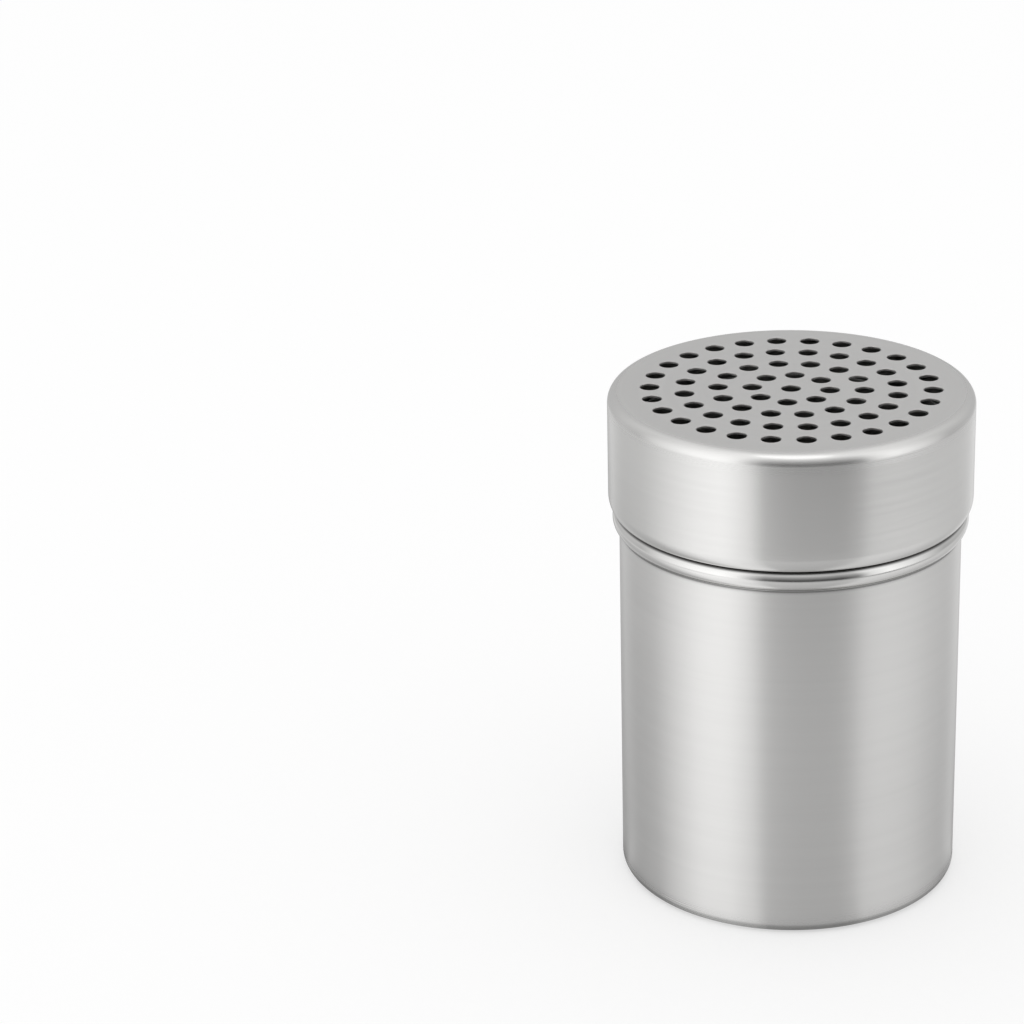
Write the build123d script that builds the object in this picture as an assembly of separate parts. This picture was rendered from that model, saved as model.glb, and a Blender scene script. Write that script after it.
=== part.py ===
from build123d import *
import math
import os

# A grated-cheese shaker pressed from stainless sheet: a deep-drawn cup with a stop bead and a plain neck,
# and a perforated lid whose rolled lip is pushed down over that neck.
# Sizes are in millimetres, +Z is up, the table is at Z = 0 and the axis of both pieces is the Z axis.

# Both pieces
overall_height = 99.6         # table to the lid's top face
body_diameter = 65.8          # outside of the cup's wall, and of its neck
sheet = 0.5                   # thickness of the stainless sheet
edge_round = 0.2              # rounded cut edges of the cup's rim and of the lid's collar

# Cup
base_corner_radius = 2.0      # outside bend from base to wall
bead_height = 4.8             # stop bead, from crease to crease
bead_depth = 1.3              # how far the bead stands out of the wall
bead_crease_radius = 0.6      # hollow bend where the bead leaves the wall
neck_height = 14.0            # bead to rim

# Lid
lid_overhang = 2.1            # skirt stands this far outside the cup's wall
lid_height = 23.5             # top face to the lowest line of the lip
lid_edge_radius = 2.4         # outside bend from top face to skirt
lip_radius = 4.0              # outside of the wide bend at the start of the lip
curl_radius = 0.65            # outside of the tight bend that turns the lip up inside
collar_height = 1.5           # straight end of the lip, which grips the neck
collar_clearance = 0.08       # collar to neck, a sliding fit
seat_gap = 0.3                # downward play left between lip and bead

# Sprinkling holes: one in the centre, and rings around it as far out as the lid has room
hole_diameter = 3.7
first_ring_radius = 7.4
first_ring_holes = 8
ring_pitch = 6.5              # from one ring to the next
ring_holes_step = 6           # each ring has this many holes more than the ring inside it
hole_margin = 6.0             # least distance from a hole's centre to the lid's outside
ring_turns = [34.8, 18.2, 3.9, 8.2]   # first hole of each ring from +X, inner ring first, in degrees

# Radii that follow
body_radius = body_diameter / 2
lid_radius = body_radius + lid_overhang
collar_radius = body_radius + collar_clearance
base_radius = body_radius - base_corner_radius

# Lip: the wide bend turns by lip_angle, then the tight bend takes over and ends upright on the collar
lip_z = overall_height - lid_height
bend_difference = lip_radius - curl_radius
lip_angle = math.acos((collar_radius + curl_radius + lip_radius - lid_radius) / bend_difference)
curl_center = Vector(collar_radius + curl_radius, lip_z + curl_radius)
lip_center = curl_center + Vector(-math.cos(lip_angle), math.sin(lip_angle)) * bend_difference

# Bead: crown and creases are tangent arcs, and the crown stops the lip's curl from below
crown_reach = (bead_depth**2 + (bead_height / 2)**2) / (2 * bead_depth)
crown_radius = crown_reach - bead_crease_radius
crown_angle = math.degrees(math.asin(bead_height / 2 / crown_reach))
crown_center_radius = body_radius + bead_depth - crown_radius
seat_rise = math.sqrt((crown_radius + curl_radius)**2 - (curl_center.X - crown_center_radius)**2)
bead_middle_z = curl_center.Y - seat_rise - seat_gap
bead_bottom_z = bead_middle_z - bead_height / 2
bead_top_z = bead_middle_z + bead_height / 2
rim_z = bead_top_z + neck_height


def cup_skin():
    """Outside of the cup, from the axis out: base, corner, wall, bead between two creases, neck."""
    corner_center = (base_radius, base_corner_radius)
    low_center = (body_radius + bead_crease_radius, bead_bottom_z)
    high_center = (body_radius + bead_crease_radius, bead_top_z)
    crown_center = (crown_center_radius, bead_middle_z)
    base = Line((0, 0), (base_radius, 0))
    corner = CenterArc(corner_center, base_corner_radius, 270, 90)
    wall = Line((body_radius, base_corner_radius), (body_radius, bead_bottom_z))
    low_crease = CenterArc(low_center, bead_crease_radius, 180, -crown_angle)
    crown = CenterArc(crown_center, crown_radius, -crown_angle, 2 * crown_angle)
    high_crease = CenterArc(high_center, bead_crease_radius, 180 + crown_angle, -crown_angle)
    neck = Line((body_radius, bead_top_z), (body_radius, rim_z))
    return [base, corner, wall, low_crease, crown, high_crease, neck]


def lid_skin():
    """Outside of the lid, from the axis out: top, edge, skirt, lip, curl, collar."""
    edge_center = (lid_radius - lid_edge_radius, overall_height - lid_edge_radius)
    lip_turn = math.degrees(lip_angle)
    top = Line((0, overall_height), (edge_center[0], overall_height))
    edge = CenterArc(edge_center, lid_edge_radius, 90, -90)
    skirt = Line((lid_radius, edge_center[1]), (lid_radius, lip_center.Y))
    lip = CenterArc(lip_center, lip_radius, 0, -lip_turn)
    curl = CenterArc(curl_center, curl_radius, -lip_turn, lip_turn - 180)
    collar = Line((collar_radius, curl_center.Y), (collar_radius, curl_center.Y + collar_height))
    return [top, edge, skirt, lip, curl, collar]


def pressed_shell(skin, inside):
    """Sheet of even thickness turned around the axis. Its skin ends at the free edge, which is rounded."""
    line = Wire(skin)
    section = line.offset_2d(sheet, kind=Kind.INTERSECTION, side=inside, closed=True)
    shell = revolve(Plane.XZ * make_face(section), Axis.Z)
    free_edge_z = (line @ 1).Y
    flat_faces = shell.faces().filter_by(GeomType.PLANE)
    cut_face = flat_faces.sort_by(lambda face: abs(face.center().Z - free_edge_z))[0]
    return fillet(cut_face.edges(), edge_round)


def sprinkling_holes():
    """Punches that stand through the lid's top, one for each hole."""
    places = [Vector(0, 0)]
    room_for_rings = lid_radius - hole_margin - first_ring_radius
    for ring in range(int(room_for_rings / ring_pitch) + 1):
        radius = first_ring_radius + ring * ring_pitch
        count = first_ring_holes + ring * ring_holes_step
        turn = ring_turns[ring % len(ring_turns)]
        places += [Vector(radius, 0).rotate(Axis.Z, turn + 360 * hole / count) for hole in range(count)]
    middle_of_sheet = Plane.XY.offset(overall_height - sheet / 2)
    punch = Cylinder(hole_diameter / 2, 2 * sheet)
    return [middle_of_sheet * Pos(place) * punch for place in places]


cup_body = pressed_shell(cup_skin(), Side.LEFT)
shaker_lid = pressed_shell(lid_skin(), Side.RIGHT) - sprinkling_holes()

os.makedirs("parts", exist_ok=True)
export_step(cup_body, "parts/cup_body.step")
export_step(shaker_lid, "parts/shaker_lid.step")
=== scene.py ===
import bmesh
import bpy
from math import acos, asin, cos, degrees, hypot, pi, radians, sin
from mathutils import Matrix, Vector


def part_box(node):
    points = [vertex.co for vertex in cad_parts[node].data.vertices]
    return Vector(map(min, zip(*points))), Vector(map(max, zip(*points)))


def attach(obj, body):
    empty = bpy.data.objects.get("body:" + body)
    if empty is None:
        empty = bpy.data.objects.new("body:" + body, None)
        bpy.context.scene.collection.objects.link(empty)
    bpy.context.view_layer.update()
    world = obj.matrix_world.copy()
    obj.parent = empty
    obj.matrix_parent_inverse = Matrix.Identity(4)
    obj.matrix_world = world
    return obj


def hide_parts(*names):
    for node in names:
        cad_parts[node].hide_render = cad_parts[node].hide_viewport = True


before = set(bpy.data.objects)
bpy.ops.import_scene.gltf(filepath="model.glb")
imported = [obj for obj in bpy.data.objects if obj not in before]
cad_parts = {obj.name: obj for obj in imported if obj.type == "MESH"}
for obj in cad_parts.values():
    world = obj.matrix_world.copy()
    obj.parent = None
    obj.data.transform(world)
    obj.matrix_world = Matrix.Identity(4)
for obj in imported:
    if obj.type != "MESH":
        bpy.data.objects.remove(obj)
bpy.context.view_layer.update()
mm = 0.001
tiny = 0.001                  # mm, places nearer than this are the same
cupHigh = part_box("cup_body")[1] / mm
lidLow, lidHigh = (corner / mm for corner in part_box("shaker_lid"))
print("frame loaded:", ", ".join(sorted(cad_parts)))

sheetMetal = {                # both shells
    "thickness": 0.5,         # mm
    "edgeRound": 0.2,         # mm, corners of the cut edge
    "edgeSteps": 3,           # faces across such a corner
    "steps": 160,             # around the axis, for the studio's rings too
    "smoothAngle": 35,        # degrees, sharper edges stay crisp
    "faceWeight": 60,         # how far the large faces lead the shading
}


# Mesh helpers

def selectOnly(piece):
    bpy.ops.object.select_all(action="DESELECT")
    piece.select_set(True)
    bpy.context.view_layer.objects.active = piece


def selectInside(piece, kind, chosen):               # opens the mesh with the chosen edges or faces selected
    selectOnly(piece)
    bpy.ops.object.mode_set(mode="EDIT")
    bpy.ops.mesh.select_mode(type=kind)
    bpy.ops.mesh.select_all(action="DESELECT")
    mesh = bmesh.from_edit_mesh(piece.data)
    for part in mesh.edges if kind == "EDGE" else mesh.faces:
        if chosen(part):
            part.select_set(True)
    bmesh.update_edit_mesh(piece.data)


def applyModifier(piece, kind, **settings):
    selectOnly(piece)
    modifier = piece.modifiers.new(kind.lower(), kind)
    for key, value in settings.items():
        setattr(modifier, key, value)
    bpy.ops.object.modifier_apply(modifier=modifier.name)


def bend(centre, radius, start, turn, steps):        # (radius, height) places along an arc; degrees
    angles = [radians(start + turn * step / steps) for step in range(steps + 1)]
    return [(centre[0] + radius * cos(angle), centre[1] + radius * sin(angle)) for angle in angles]


def straight(start, end, steps):                     # places along a line, both ends included
    run, rise = end[0] - start[0], end[1] - start[1]
    return [(start[0] + run * step / steps, start[1] + rise * step / steps) for step in range(steps + 1)]


def extrudeAlong(profile, extrude):                  # takes what is selected from place to place
    radius, height = profile[0]
    for nextRadius, nextHeight in profile[1:]:
        if hypot(nextRadius - radius, nextHeight - height) < tiny:
            continue
        rise = (nextHeight - height) * mm
        grow = nextRadius / radius
        extrude(TRANSFORM_OT_translate={"value": (0, 0, rise)})
        bpy.ops.transform.resize(value=(grow, grow, 1), center_override=(0, 0, 0))
        radius, height = nextRadius, nextHeight


def turnSkin(name, profile, fill="NGON"):            # a disc or ring grown outwards along the profile
    radius, height = profile[0]
    bpy.ops.object.select_all(action="DESELECT")
    bpy.ops.mesh.primitive_circle_add(vertices=sheetMetal["steps"], radius=radius * mm, fill_type=fill,
                                      location=(0, 0, height * mm))
    skin = bpy.context.object
    skin.name = name
    bpy.ops.object.transform_apply(location=True, rotation=True, scale=True)
    bpy.ops.object.mode_set(mode="EDIT")
    bpy.ops.mesh.select_mode(type="EDGE")
    bpy.ops.mesh.select_all(action="SELECT")
    extrudeAlong(profile, bpy.ops.mesh.extrude_edges_move)
    bpy.ops.mesh.select_all(action="SELECT")
    bpy.ops.mesh.normals_make_consistent(inside=False)
    bpy.ops.object.mode_set(mode="OBJECT")
    return skin


def thicken(skin, insideSlot):                       # the skin stays where it is, the sheet grows inwards
    applyModifier(skin, "SOLIDIFY", thickness=sheetMetal["thickness"] * mm, offset=-1, use_even_offset=True,
                  use_quality_normals=True, material_offset=insideSlot)


def roundFreeEdge(piece, height):                    # both corners of the sheet's cut edge
    def onCutEdge(edge):
        a, b = (vert.co for vert in edge.verts)
        level = max(abs(a.z - height * mm), abs(b.z - height * mm)) < tiny * mm
        around = abs(hypot(a.x, a.y) - hypot(b.x, b.y)) < tiny * mm
        return level and around

    selectInside(piece, "EDGE", onCutEdge)
    bpy.ops.mesh.bevel(offset=sheetMetal["edgeRound"] * mm, segments=sheetMetal["edgeSteps"], affect="EDGES")
    bpy.ops.object.mode_set(mode="OBJECT")


def paintFaces(piece, slot, chosen):                 # gives the chosen faces another material
    selectInside(piece, "FACE", chosen)
    piece.active_material_index = slot
    bpy.ops.object.material_slot_assign()
    bpy.ops.object.mode_set(mode="OBJECT")


def smoothShading(piece):
    selectOnly(piece)
    bpy.ops.object.shade_smooth_by_angle(angle=radians(sheetMetal["smoothAngle"]))
    applyModifier(piece, "WEIGHTED_NORMAL", keep_sharp=True, weight=sheetMetal["faceWeight"])


# Node helpers

noiseRange = (0.3, 0.7)       # most of a noise texture lies between these


def addNode(tree, kind, values=None, **settings):    # a value is a constant or a socket to link
    made = tree.nodes.new(kind)
    for key, value in settings.items():
        setattr(made, key, value)
    for key, value in (values or {}).items():
        if isinstance(value, bpy.types.NodeSocket):
            tree.links.new(value, made.inputs[key])
        else:
            made.inputs[key].default_value = value
    return made


def calc(tree, operation, first, second):
    return addNode(tree, "ShaderNodeMath", {0: first, 1: second}, operation=operation).outputs[0]


def mapRange(tree, value, fromMin, fromMax, toMin, toMax, curve="SMOOTHSTEP"):
    made = addNode(tree, "ShaderNodeMapRange", {0: value, 1: fromMin, 2: fromMax, 3: toMin, 4: toMax},
                   interpolation_type=curve)
    return made.outputs[0]


def newMaterial(name):
    material = bpy.data.materials.new(name)
    material.use_nodes = True
    material.node_tree.nodes.clear()
    return material, material.node_tree


def ramp(tree, value, stops):                        # stops are (place 0 to 1, colour with alpha)
    made = addNode(tree, "ShaderNodeValToRGB", {0: value})
    elements = made.color_ramp.elements
    elements.remove(elements[1])
    for number, (place, colour) in enumerate(stops):
        element = elements[0] if number == 0 else elements.new(place)
        element.position = place
        element.color = colour
    return made.outputs


def darkAndPale(colour, tint):                       # the two ends of a slight change of colour
    return [(*(channel * (1 + change) for channel in colour), 1) for change in (-tint, tint)]


def seenDirectly(tree):                              # by the camera, in a mirror or through glass
    path = addNode(tree, "ShaderNodeLightPath").outputs
    mirrored = calc(tree, "MAXIMUM", path["Is Glossy Ray"], path["Is Transmission Ray"])
    return calc(tree, "MAXIMUM", path["Is Camera Ray"], mirrored)


def turnedPlace(tree):                               # object coordinates as x, y, height and radius
    place = addNode(tree, "ShaderNodeTexCoord").outputs["Object"]
    x, y, height = addNode(tree, "ShaderNodeSeparateXYZ", {0: place}).outputs
    flat = addNode(tree, "ShaderNodeCombineXYZ", {0: x, 1: y}).outputs[0]
    radius = addNode(tree, "ShaderNodeVectorMath", {0: flat}, operation="LENGTH").outputs["Value"]
    return x, y, height, radius


# Stainless sheet: fine brush lines run round the axis, over wall, bends and flat faces alike

satin = {
    "colour": (0.74, 0.735, 0.725),
    "anisotropy": 0.70,       # the lines spread reflections up and down the wall
    "spreadTurn": 0.25,       # of a full turn, sets that spread upright
    "lineSpacing": 0.12,      # mm between fine brush lines
    "lineLength": 30.0,       # mm along the brush
    "lineDetail": 2.0,
    "bandSpacing": 1.4,       # mm between the broader streaks
    "bandLength": 90.0,
    "bandDetail": 3.0,
    "fineShare": 0.6,         # of the fine lines, in their mix with the broad streaks
    "depth": 0.0006,          # mm, height of the lines on the dullest stretch
    "streak": 0.025,          # how much the mix changes the roughness
    "tint": 0.015,            # and the broad streaks the colour
    "tintRange": (0.25, 0.75),
}


def finishAndShadeStops(levels, finishAndShade):                     # heights in mm, from named levels and places above them
    return [(levels[name] + above, rough, shadeFactor) for name, above, rough, shadeFactor in finishAndShade]


def brushedSteel(name, look, finishAndShade, downwards=False):
    # each stop is (height in mm, roughness, painted shade factor) from low to high; a factor under 1 darkens
    # the colour as painted shade in the tight corners
    material, tree = newMaterial(name)
    x, y, height, radius = turnedPlace(tree)
    along = calc(tree, "SUBTRACT" if downwards else "ADD", radius, height)   # runs along the profile

    def lines(spacing, length, detail):
        across = calc(tree, "MULTIPLY", along, 1 / (spacing * mm))
        lengthX = calc(tree, "MULTIPLY", x, 1 / (length * mm))
        lengthY = calc(tree, "MULTIPLY", y, 1 / (length * mm))
        place = addNode(tree, "ShaderNodeCombineXYZ", {0: lengthX, 1: lengthY, 2: across}).outputs[0]
        noise = addNode(tree, "ShaderNodeTexNoise", {"Vector": place, "Scale": 1.0, "Detail": detail})
        return noise.outputs[0]

    fine = lines(look["lineSpacing"], look["lineLength"], look["lineDetail"])
    broad = lines(look["bandSpacing"], look["bandLength"], look["bandDetail"])
    fineShare = calc(tree, "MULTIPLY", fine, look["fineShare"])
    broadShare = calc(tree, "MULTIPLY", broad, 1 - look["fineShare"])
    streak = calc(tree, "ADD", fineShare, broadShare)
    low, high = finishAndShade[0][0], finishAndShade[-1][0]
    share = mapRange(tree, height, low * mm, high * mm, 0.0, 1.0, "LINEAR")
    stops = [((level - low) / (high - low), (rough, rough, rough, shadeFactor)) for level, rough, shadeFactor in finishAndShade]
    dullness, paintedShade = ramp(tree, share, stops)
    uneven = mapRange(tree, streak, *noiseRange, -look["streak"], look["streak"])
    roughness = calc(tree, "ADD", dullness, uneven)
    relief = calc(tree, "MULTIPLY", streak, dullness)        # burnished stretches have fainter lines
    tints = zip(look["tintRange"], darkAndPale(look["colour"], look["tint"]))
    bright = ramp(tree, broad, tints)[0]
    # painted shade: the colour is darkened in the crease and under the lid's lip, where the shade factor is
    # below 1
    shadedColour = addNode(tree, "ShaderNodeVectorMath", {0: bright, "Scale": paintedShade}, operation="SCALE")
    depth = look["depth"] * mm / max(rough for level, rough, shadeFactor in finishAndShade)
    bump = addNode(tree, "ShaderNodeBump", {"Height": relief, "Strength": 1.0, "Distance": depth})
    steel = addNode(tree, "ShaderNodeBsdfPrincipled", {
        "Base Color": shadedColour.outputs[0], "Metallic": 1.0, "Roughness": roughness, "Normal": bump.outputs[0],
        "Anisotropic": look["anisotropy"], "Anisotropic Rotation": look["spreadTurn"]})
    addNode(tree, "ShaderNodeOutputMaterial", {0: steel.outputs[0]})
    return material


drawnAndShaded = {                     # inside of both shells, left as it came from the press; its dark colour is partly that dull finish and partly painted shade, darkening the inside seen through the holes
    # darker than the outside steel: partly the dull drawn finish, partly painted shade
    "colour": (0.44, 0.435, 0.425),
    "tint": 0.1,              # how much the dull patches change the colour
    "roughness": 0.42,
    "uneven": 0.08,           # how much patches and draw lines change the roughness
    "mottle": 4.0,            # mm, size of the dull patches
    "mottleDetail": 4.0,
    "scratch": 0.5,           # mm between the upright draw lines
    "scratchLength": 50.0,    # times as long as they are apart
    "scratchDetail": 2.0,
    "depth": 0.002,           # mm
}


def drawnSteel(name, look):
    material, tree = newMaterial(name)
    place = addNode(tree, "ShaderNodeTexCoord").outputs["Object"]
    squeeze = (1, 1, 1 / look["scratchLength"])
    upright = addNode(tree, "ShaderNodeMapping", {"Vector": place, "Scale": squeeze}).outputs[0]
    scratch = addNode(tree, "ShaderNodeTexNoise", {
        "Vector": upright, "Scale": 1 / (look["scratch"] * mm), "Detail": look["scratchDetail"]}).outputs[0]
    patch = addNode(tree, "ShaderNodeTexNoise", {
        "Vector": place, "Scale": 1 / (look["mottle"] * mm), "Detail": look["mottleDetail"]}).outputs[0]
    wear = calc(tree, "DIVIDE", calc(tree, "ADD", scratch, patch), 2.0)
    dullest, brightest = look["roughness"] + look["uneven"], look["roughness"] - look["uneven"]
    roughness = mapRange(tree, wear, *noiseRange, brightest, dullest)
    colour = ramp(tree, patch, zip((0.0, 1.0), darkAndPale(look["colour"], look["tint"])))[0]
    bump = addNode(tree, "ShaderNodeBump", {"Height": scratch, "Distance": look["depth"] * mm})
    steel = addNode(tree, "ShaderNodeBsdfPrincipled", {
        "Base Color": colour, "Metallic": 1.0, "Roughness": roughness, "Normal": bump.outputs[0]})
    addNode(tree, "ShaderNodeOutputMaterial", {0: steel.outputs[0]})
    return material


# Lid

lidSize = {
    "discInset": 2.0,         # flat ring between the punched disc and the rounded edge
    "edgeRadius": 2.4,
    "lipRadius": 4.0,
    "curlRadius": 0.65,
    "collarRadius": 32.98,
    "collarHeight": 1.5,
    "flatUp": 0.99,           # a face that looks up this far is part of the flat top
    "topRoughness": 0.40,
    "finishAndShade": [               # level, mm above it, roughness, painted shade factor (1 is none)
        ("lip", 0.0, 0.15, 1), ("skirt", -1.0, 0.18, 1), ("skirt", 1.5, 0.24, 1),
        ("edge", -2.0, 0.24, 1), ("edge", -0.3, 0.28, 1), ("edge", 0.6, 0.26, 1),
        ("top", -0.8, 0.22, 1), ("top", -0.2, 0.22, 1), ("top", 0.0, 0.30, 1),
    ],
}
lidLooks = {
    "skirt": {**satin, "anisotropy": 0.8},
    "top": {**satin, "anisotropy": 0.0},             # an even satin
    "hole": {**drawnAndShaded, "colour": (0.55, 0.545, 0.535)},
}
lidRadius, lidTop, lipHeight = lidHigh.x, lidHigh.z, lidLow.z


def lidProfile(size):
    edge = (lidRadius - size["edgeRadius"], lidTop - size["edgeRadius"])
    difference = size["lipRadius"] - size["curlRadius"]
    curl = (size["collarRadius"] + size["curlRadius"], lipHeight + size["curlRadius"])
    turn = acos((curl[0] + size["lipRadius"] - lidRadius) / difference)
    lip = (curl[0] - difference * cos(turn), curl[1] + difference * sin(turn))
    profile = [(edge[0] - size["discInset"], lidTop)]
    profile += bend(edge, size["edgeRadius"], 90, -90, steps=10)
    profile += straight((lidRadius, edge[1]), (lidRadius, lip[1]), steps=6)
    profile += bend(lip, size["lipRadius"], 0, -degrees(turn), steps=8)
    profile += bend(curl, size["curlRadius"], -degrees(turn), degrees(turn) - 180, steps=12)
    profile.append((size["collarRadius"], curl[1] + size["collarHeight"]))
    return profile, edge[1], lip[1]


holeSize = {
    "radius": 1.85,
    "rollOver": 0.14,         # rounded rim where the punch went in
    "rollTurn": 80,           # degrees that the rim turns
    "rollSteps": 3,
    "passOver": 1.0,          # how far the punch stands out of the sheet
    "firstRing": 7.4,
    "firstCount": 8,
    "ringPitch": 6.5,
    "countStep": 6,           # each ring has this many holes more than the one inside it
    "turns": [34.8, 18.2, 3.9, 8.2],      # first hole of each ring from +X, degrees
    "sides": 40,
}


def holePlaces(size):
    places = [(0.0, 0.0)]
    for ring, turn in enumerate(size["turns"]):
        radius = size["firstRing"] + ring * size["ringPitch"]
        count = size["firstCount"] + ring * size["countStep"]
        angles = [radians(turn + 360 * hole / count) for hole in range(count)]
        places += [(radius * cos(angle), radius * sin(angle)) for angle in angles]
    return places


def makePunches(size, material):                     # one flared punch, copied to every hole
    bottom = lidTop - sheetMetal["thickness"] - size["passOver"]
    shoulder = lidTop - size["rollOver"]
    bpy.ops.object.select_all(action="DESELECT")
    bpy.ops.mesh.primitive_cylinder_add(vertices=size["sides"], radius=size["radius"] * mm,
                                        depth=(shoulder - bottom) * mm,
                                        location=(0, 0, (shoulder + bottom) / 2 * mm))
    punch = bpy.context.object
    bpy.ops.object.transform_apply(location=True, rotation=True, scale=True)
    punch.data.materials.append(material)
    selectInside(punch, "FACE", lambda face: face.calc_center_median().z > (shoulder - tiny) * mm)
    rollCentre = (size["radius"] + size["rollOver"], shoulder)
    flare = bend(rollCentre, size["rollOver"], 180, -size["rollTurn"], size["rollSteps"])
    flare.append((flare[-1][0], lidTop + size["passOver"]))
    extrudeAlong(flare, bpy.ops.mesh.extrude_region_move)
    bpy.ops.object.mode_set(mode="OBJECT")
    copies = []
    for x, y in holePlaces(size)[1:]:
        selectOnly(punch)
        bpy.ops.object.duplicate(linked=False)
        copy = bpy.context.object
        copy.location = (x * mm, y * mm, 0)
        copies.append(copy)
    selectOnly(punch)
    for copy in copies:
        copy.select_set(True)
    bpy.ops.object.join()
    return punch


def makeLid():
    profile, edgeStart, lipStart = lidProfile(lidSize)
    levels = {"lip": lipHeight, "skirt": lipStart, "edge": edgeStart, "top": lidTop}
    skirtFinish = finishAndShadeStops(levels, lidSize["finishAndShade"])
    topFinish = [(level, lidSize["topRoughness"], 1) for level in (edgeStart, lidTop)]

    def onTop(face):
        return face.normal.z > lidSize["flatUp"] and face.calc_center_median().z > edgeStart * mm

    lid = turnSkin("lidShell", profile)
    lid.data.materials.append(brushedSteel("lidSatin", lidLooks["skirt"], skirtFinish, downwards=True))
    lid.data.materials.append(brushedSteel("lidTop", lidLooks["top"], topFinish, downwards=True))
    lid.data.materials.append(drawnSteel("lidInside", drawnAndShaded))
    paintFaces(lid, 1, onTop)
    thicken(lid, insideSlot=2)
    roundFreeEdge(lid, profile[-1][1])
    punches = makePunches(holeSize, drawnSteel("punchedEdge", lidLooks["hole"]))
    applyModifier(lid, "BOOLEAN", object=punches, operation="DIFFERENCE", solver="EXACT",
                  material_mode="TRANSFER")
    bpy.data.objects.remove(punches)
    smoothShading(lid)
    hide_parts("shaker_lid")
    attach(lid, "lid")
    print("lid:", len(lid.data.polygons), "faces,", len(holePlaces(holeSize)), "holes")


# Cup

cupSize = {
    "wallRadius": 32.9,
    "discInset": 4.0,         # flat ring between the base's disc and the rounded corner
    "cornerRadius": 2.0,
    "beadHeight": 4.8,
    "creaseRadius": 0.6,
    "neckHeight": 14.0,
    "seatDepth": 0.9,         # this much of the bead's top lies under the lid's lip
    "finishAndShade": [               # level, mm above it, roughness, painted shade factor (1 is none)
        ("base", 0.0, 0.25, 1), ("base", 2.0, 0.27, 1), ("base", 5.0, 0.31, 1), ("crease", -0.35, 0.31, 1),
        ("crease", -0.05, 0.25, 0.25), ("crease", 0.25, 0.12, 0.25),         # painted shade along the crease
        ("crease", 0.5, 0.12, 1), ("seat", -0.1, 0.12, 1),
        ("seat", 0.0, 0.12, 0.12), ("neck", 0.0, 0.20, 0.15),                # and painted shade under the lid's lip
        ("neck", 0.5, 0.33, 1), ("rim", 0.0, 0.33, 1),
    ],
}
beadRadius, rimHeight = cupHigh.x, cupHigh.z


def cupProfile(size):
    wall, corner, crease = size["wallRadius"], size["cornerRadius"], size["creaseRadius"]
    beadTop = rimHeight - size["neckHeight"]
    beadMiddle = beadTop - size["beadHeight"] / 2
    beadBottom = beadTop - size["beadHeight"]
    depth = beadRadius - wall
    reach = (depth**2 + (size["beadHeight"] / 2)**2) / (2 * depth)
    crown = reach - crease
    angle = degrees(asin(size["beadHeight"] / 2 / reach))
    profile = [(wall - corner - size["discInset"], 0)]
    profile += bend((wall - corner, corner), corner, 270, 90, steps=10)
    profile += straight((wall, corner), (wall, beadBottom), steps=14)
    profile += bend((wall + crease, beadBottom), crease, 180, -angle, steps=6)
    profile += bend((beadRadius - crown, beadMiddle), crown, -angle, 2 * angle, steps=16)
    profile += bend((wall + crease, beadTop), crease, 180 + angle, -angle, steps=6)
    profile += straight((wall, beadTop), (wall, rimHeight), steps=4)
    return profile, beadBottom, beadTop


def makeCup():
    profile, beadBottom, beadTop = cupProfile(cupSize)
    seat = beadTop - cupSize["seatDepth"]
    levels = {"base": 0, "crease": beadBottom, "seat": seat, "neck": beadTop, "rim": rimHeight}
    cup = turnSkin("cupShell", profile)
    cup.data.materials.append(brushedSteel("cupSatin", satin, finishAndShadeStops(levels, cupSize["finishAndShade"])))
    cup.data.materials.append(drawnSteel("cupInside", drawnAndShaded))
    thicken(cup, insideSlot=1)
    roundFreeEdge(cup, rimHeight)
    smoothShading(cup)
    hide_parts("cup_body")
    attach(cup, "cup")
    print("cup:", len(cup.data.polygons), "faces")


makeLid()
makeCup()


# Studio: pale floor, white surroundings, an overhead lamp and a light tent that only the steel mirrors

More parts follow.
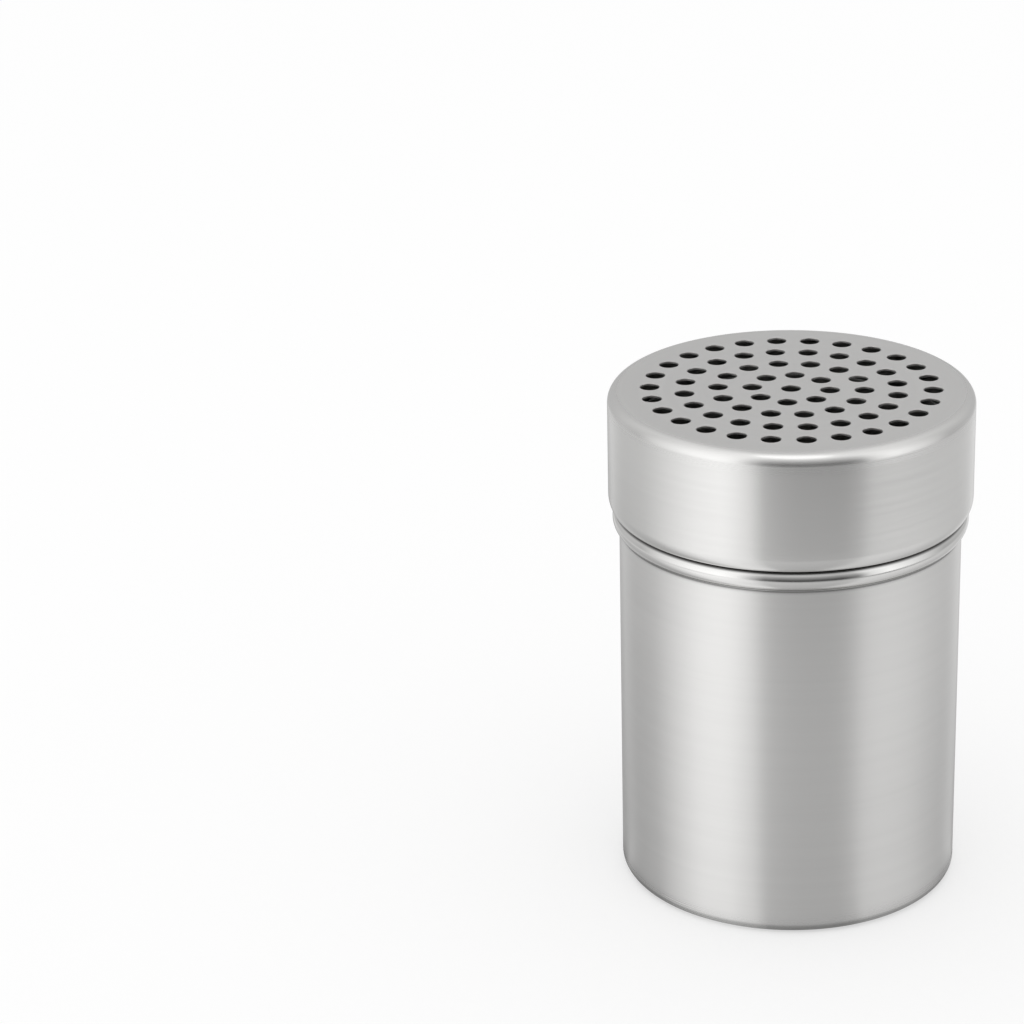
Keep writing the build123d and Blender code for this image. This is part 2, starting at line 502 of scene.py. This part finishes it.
studio = {
    "floorInner": 30.8,       # open under the flat of the cup's base
    "floorMiddle": 200.0,
    "floorRadius": 4000.0,
    "floorHeight": -0.02,     # a little under the cup's base
    "floorColour": (0.97, 0.97, 0.97),
    "floorWhite": 0.48,       # share of plain white, where the floor is seen
    "ambient": 1.00,          # light from all round, on matt surfaces
    "lampSize": 600.0,
    "lampPlace": (0.0, -350.0, 1100.0),
    "lampWatts": 0.36,
    "tentInner": 31.0,
    "tentRadius": 800.0,
    "tentGround": -0.01,      # between the floor and the cup's base
    "tentHeight": 4400.0,
    "shade": [(32.5, 38.0, 0.45), (40.0, 190.0, 0.85)],   # dimmer ground near the cup: from, to, level
    "farGround": (205.0, 262.0),          # out along the ground, the near level passes into the far one
    "lowWall": (330.0, 480.0),            # and that into the low wall's
    "highWall": (50.0, 1300.0),           # up the wall, that passes into the high wall's
    "panels": [               # degrees, 0 in front and 90 at the right; near, far, low and high level
        (-180, 0.46, 0.56, 0.53, 0.68), (-169, 0.48, 0.58, 0.54, 0.70), (-161, 0.72, 0.80, 0.55, 0.72),
        (-150, 0.60, 0.72, 0.57, 0.78), (-138, 0.53, 0.68, 0.60, 0.85), (-130, 0.55, 0.70, 0.62, 0.90),
        (-110, 0.60, 0.76, 0.56, 0.95), (-94, 0.83, 0.80, 0.90, 1.00), (-68, 1.16, 0.93, 1.30, 1.10),
        (-48, 1.17, 1.10, 1.40, 1.10), (-38, 1.06, 1.05, 1.20, 1.10), (-30, 0.99, 1.00, 0.70, 1.10),
        (-21, 0.70, 0.65, 0.16, 1.10), (-11, 0.66, 0.55, 0.07, 1.10), (0, 0.63, 0.48, 0.07, 1.10),
        (28, 0.61, 0.44, 0.07, 1.10), (38, 0.68, 0.44, 0.25, 1.10), (46, 0.85, 0.43, 0.95, 1.05),
        (60, 0.87, 0.36, 1.30, 1.05), (86, 0.83, 0.54, 0.86, 0.95), (106, 0.72, 0.69, 0.50, 0.95),
        (130, 0.63, 0.70, 0.58, 0.90), (140, 0.67, 0.72, 0.57, 0.84), (150, 0.76, 0.78, 0.56, 0.78),
        (161, 0.84, 0.88, 0.55, 0.72), (169, 0.50, 0.60, 0.54, 0.70), (180, 0.46, 0.56, 0.53, 0.68),
    ],
}


def makeFloor(look):
    rings = [(look[key], look["floorHeight"]) for key in ("floorInner", "floorMiddle", "floorRadius")]
    floor = turnSkin("floor", rings, fill="NOTHING")
    if floor.data.polygons[0].normal.z < 0:          # an open ring can come out facing down
        bpy.ops.object.mode_set(mode="EDIT")
        bpy.ops.mesh.select_all(action="SELECT")
        bpy.ops.mesh.flip_normals()
        bpy.ops.object.mode_set(mode="OBJECT")
    material, tree = newMaterial("paleFloor")
    paper = addNode(tree, "ShaderNodeBsdfDiffuse", {"Color": (*look["floorColour"], 1)}).outputs[0]
    white = addNode(tree, "ShaderNodeEmission").outputs[0]
    clear = addNode(tree, "ShaderNodeBsdfTransparent").outputs[0]
    share = calc(tree, "MULTIPLY", seenDirectly(tree), look["floorWhite"])
    above = addNode(tree, "ShaderNodeMixShader", {0: share, 1: paper, 2: white}).outputs[0]
    below = addNode(tree, "ShaderNodeNewGeometry").outputs["Backfacing"]
    oneSided = addNode(tree, "ShaderNodeMixShader", {0: below, 1: above, 2: clear}).outputs[0]
    addNode(tree, "ShaderNodeOutputMaterial", {0: oneSided})
    floor.data.materials.append(material)


def makeTent(look):
    wall, ground = look["tentRadius"], look["tentGround"]
    profile = [(look["tentInner"], ground), (wall, ground), (wall, look["tentHeight"])]
    tent = turnSkin("lightTent", profile, fill="NOTHING")
    material, tree = newMaterial("tentCloth")
    x, y, height, radius = turnedPlace(tree)
    direction = calc(tree, "ARCTAN2", x, calc(tree, "MULTIPLY", y, -1.0))
    halfCup = cupSize["wallRadius"] / 2 * mm         # panels draw in near the cup, to be mirrored upright
    spread = calc(tree, "SUBTRACT", 1.0, calc(tree, "DIVIDE", halfCup, radius))
    angle = calc(tree, "DIVIDE", direction, spread)
    turn = calc(tree, "ADD", calc(tree, "DIVIDE", angle, 2 * pi), 0.5)
    stops = [((degree + 180) / 360, levels) for degree, *levels in look["panels"]]
    colours, highest = ramp(tree, turn, stops)       # the four levels fill one colour and its alpha
    panel, further, lower = addNode(tree, "ShaderNodeSeparateColor", {0: colours}).outputs
    for level, place, key, curve in ((further, radius, "farGround", "SMOOTHSTEP"),
                                     (lower, radius, "lowWall", "SMOOTHSTEP"),
                                     (highest, height, "highWall", "LINEAR")):
        share = mapRange(tree, place, look[key][0] * mm, look[key][1] * mm, 0.0, 1.0, curve)
        panel = addNode(tree, "ShaderNodeMix", {0: share, 2: panel, 3: level}).outputs[0]
    for near, far, dim in look["shade"]:
        panel = calc(tree, "MULTIPLY", panel, mapRange(tree, radius, near * mm, far * mm, dim, 1.0))
    light = addNode(tree, "ShaderNodeEmission", {1: panel})
    addNode(tree, "ShaderNodeOutputMaterial", {0: light.outputs[0]})
    tent.data.materials.append(material)
    for ray in ("camera", "diffuse", "shadow", "transmission", "volume_scatter"):
        setattr(tent, "visible_" + ray, False)


def makeLight(look):
    bpy.ops.object.select_all(action="DESELECT")
    bpy.ops.object.light_add(type="AREA", location=[value * mm for value in look["lampPlace"]])
    lamp = bpy.context.object
    lamp.name = "overheadLamp"
    lamp.data.shape = "DISK"
    lamp.data.size = look["lampSize"] * mm
    lamp.data.energy = look["lampWatts"]
    world = bpy.data.worlds.new("whiteStudio")
    world.use_nodes = True
    tree = world.node_tree
    tree.nodes.clear()
    strength = mapRange(tree, seenDirectly(tree), 0.0, 1.0, look["ambient"], 1.0)
    sky = addNode(tree, "ShaderNodeBackground", {0: (1, 1, 1, 1), 1: strength})
    addNode(tree, "ShaderNodeOutputWorld", {0: sky.outputs[0]})
    bpy.context.scene.world = world


makeFloor(studio)
makeTent(studio)
makeLight(studio)
print("studio ready")


# Camera, from the photograph's viewing angle

shot = {
    "place": (-53.57, -620.85, 331.69),
    "pitch": 22.42,           # degrees below the horizon
    "roll": 1.39,
    "focal": 3487.0,          # in pixels of the frame
    "frame": 1024,            # pixels across
    "sensor": 36.0,
}
bpy.ops.object.camera_add(location=[value * mm for value in shot["place"]])
camera = bpy.context.object
camera.rotation_euler = (radians(90 - shot["pitch"]), 0, 0)
camera.rotation_euler.rotate_axis("Z", -radians(shot["roll"]))
camera.data.sensor_width = shot["sensor"]
camera.data.lens = shot["focal"] / shot["frame"] * shot["sensor"]
bpy.context.scene.camera = camera
bpy.context.scene.view_settings.view_transform = "Standard"
print("camera placed")
